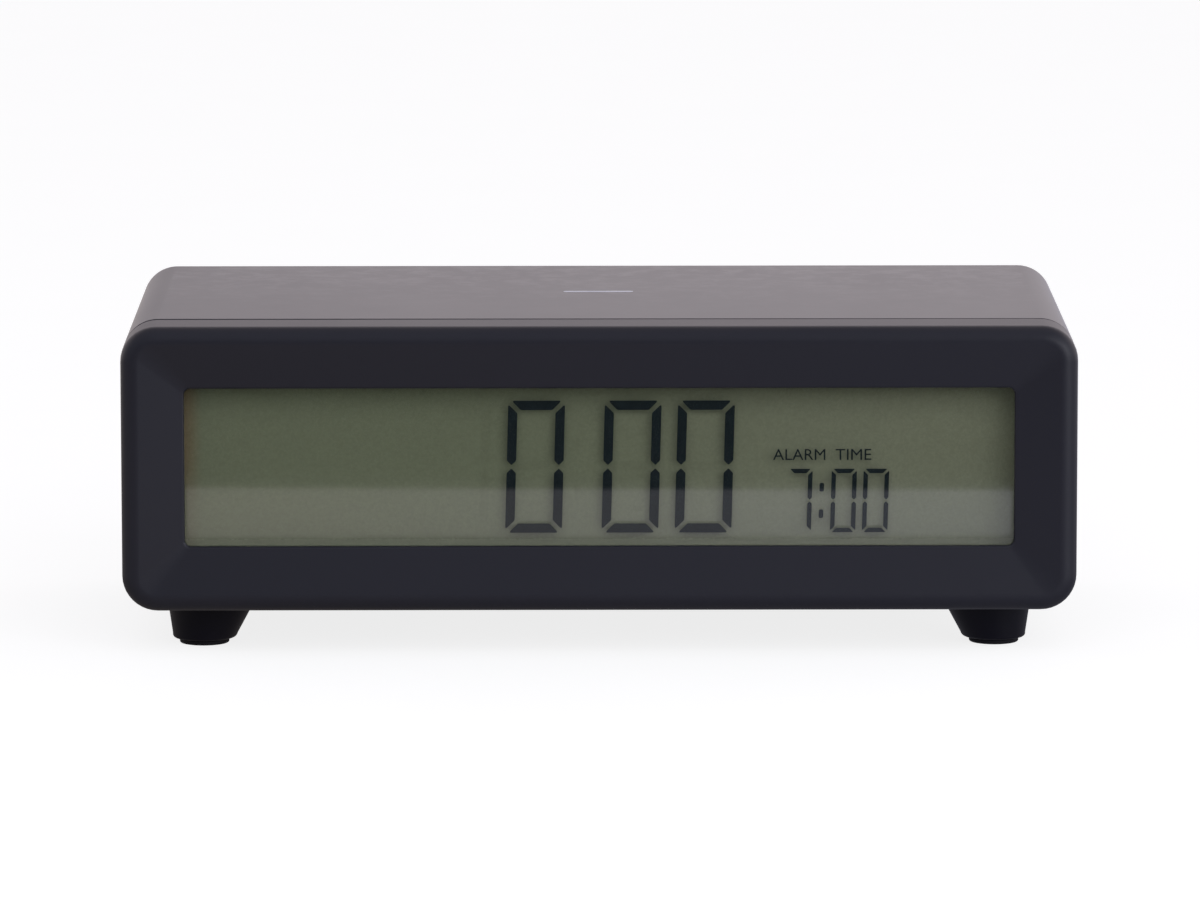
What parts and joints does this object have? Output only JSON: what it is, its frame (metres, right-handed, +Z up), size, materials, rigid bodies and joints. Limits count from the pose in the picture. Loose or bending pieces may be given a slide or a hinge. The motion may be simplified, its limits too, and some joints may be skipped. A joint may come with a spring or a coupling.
{
  "type": "digital alarm clock",
  "caption": "Wide digital alarm clock on splayed feet: framed segment display in front, a hinged press plate on top for snooze, setting buttons behind and a battery door below.",
  "frame": {"origin": "on the table plane, under the middle of the case", "axes": "+X to the right along the display, +Y from the display to the back, +Z up"},
  "size_m": [0.16, 0.082, 0.0562],
  "materials": {
    "case_plastic": "fine matte texture",
    "foot_plastic": "satin",
    "inner_plastic": "matte",
    "button_plastic": "satin",
    "white_plastic": "satin",
    "rubber": "matte",
    "window": "polished",
    "light_guide": "polished",
    "display_glass": "polished",
    "display_film": "satin",
    "circuit_board": "solder mask",
    "epoxy": "cured",
    "steel": "plated",
    "cell_jacket": "plain printed jacket",
    "red_wire": "insulation",
    "black_wire": "insulation",
    "flat_cable": "insulation"
  },
  "bodies": {
    "case": {"front_bezel": "case_plastic", "display_window": "window", "lcd_front_glass": "display_glass", "lcd_rear_glass": "display_glass", "lcd_reflector": "display_film", "light_guide": "light_guide", "zebra_strip": "rubber", "backlight_led": "white_plastic", "lcd_holder": "white_plastic", "main_board": "circuit_board", "board_screw_lower_left": "steel", "board_screw_upper_left": "steel", "board_screw_lower_right": "steel", "board_screw_upper_right": "steel", "driver_chip": "epoxy", "quartz_crystal": "steel", "lower_case": "case_plastic", "top_deck": "inner_plastic", "pivot_pin_left": "steel", "pivot_pin_right": "steel", "snooze_spring_left": "steel", "snooze_spring_right": "steel", "snooze_switch": "inner_plastic", "foot_front_left": "foot_plastic", "foot_front_right": "foot_plastic", "foot_rear_left": "foot_plastic", "foot_rear_right": "foot_plastic", "foot_pad_front_left": "rubber", "foot_pad_front_right": "rubber", "foot_pad_rear_left": "rubber", "foot_pad_rear_right": "rubber", "foot_screw_front_left": "steel", "foot_screw_front_right": "steel", "foot_screw_rear_left": "steel", "foot_screw_rear_right": "steel", "rear_cover": "case_plastic", "rear_screw_lower_left": "steel", "rear_screw_upper_left": "steel", "rear_screw_lower_right": "steel", "rear_screw_upper_right": "steel", "control_board": "circuit_board", "keypad_mat": "rubber", "alarm_switch_body": "steel", "buzzer": "epoxy", "ribbon_cable": "flat_cable", "battery_cell_front": "cell_jacket", "battery_cell_rear": "cell_jacket", "contact_positive": "steel", "contact_negative": "steel", "contact_bridge": "steel", "battery_lead_red": "red_wire", "battery_lead_black": "black_wire"},
    "press_plate": {"snooze_plate": "case_plastic"},
    "plunger": {"snooze_plunger": "white_plastic"},
    "door": {"battery_door": "case_plastic"},
    "time_key": {"time_button": "button_plastic"},
    "alarm_key": {"alarm_button": "button_plastic"},
    "hour_key": {"hour_button": "button_plastic"},
    "minute_key": {"minute_button": "button_plastic"},
    "alarm_slider": {"alarm_switch_knob": "white_plastic"}
  },
  "joints": [
    {"name": "snooze_press", "type": "hinge", "parent": "case", "child": "press_plate", "pos_m": [0, 0.033, 0.05], "axis": [1, 0, 0], "range_deg": [0, 1], "stiffness_Nm_per_rad": 0.4, "springref_deg": -5.73, "deforming": ["snooze_spring_left", "snooze_spring_right"]},
    {"name": "plunger_slide", "type": "slide", "parent": "case", "child": "plunger", "axis": [0, 0, -1], "range_m": [0, 0.00105]},
    {"name": "battery_door_swing", "type": "hinge", "parent": "case", "child": "door", "pos_m": [0, 0.0241, 0.0082], "axis": [1, 0, 0], "range_deg": [0, 75]},
    {"name": "time_button_press", "type": "slide", "parent": "case", "child": "time_key", "axis": [0, -1, 0], "range_m": [0, 0.0008], "stiffness_N_per_m": 300, "springref_m": -0.002, "deforming": ["keypad_mat"]},
    {"name": "alarm_button_press", "type": "slide", "parent": "case", "child": "alarm_key", "axis": [0, -1, 0], "range_m": [0, 0.0008], "stiffness_N_per_m": 300, "springref_m": -0.002, "deforming": ["keypad_mat"]},
    {"name": "hour_button_press", "type": "slide", "parent": "case", "child": "hour_key", "axis": [0, -1, 0], "range_m": [0, 0.0008], "stiffness_N_per_m": 300, "springref_m": -0.002, "deforming": ["keypad_mat"]},
    {"name": "minute_button_press", "type": "slide", "parent": "case", "child": "minute_key", "axis": [0, -1, 0], "range_m": [0, 0.0008], "stiffness_N_per_m": 300, "springref_m": -0.002, "deforming": ["keypad_mat"]},
    {"name": "alarm_switch_slide", "type": "slide", "parent": "case", "child": "alarm_slider", "axis": [1, 0, 0], "range_m": [0, 0.004]}
  ],
  "couplings": [
    {"joint": "plunger_slide", "follows": "snooze_press", "m_per_rad": 0.0581}
  ]
}
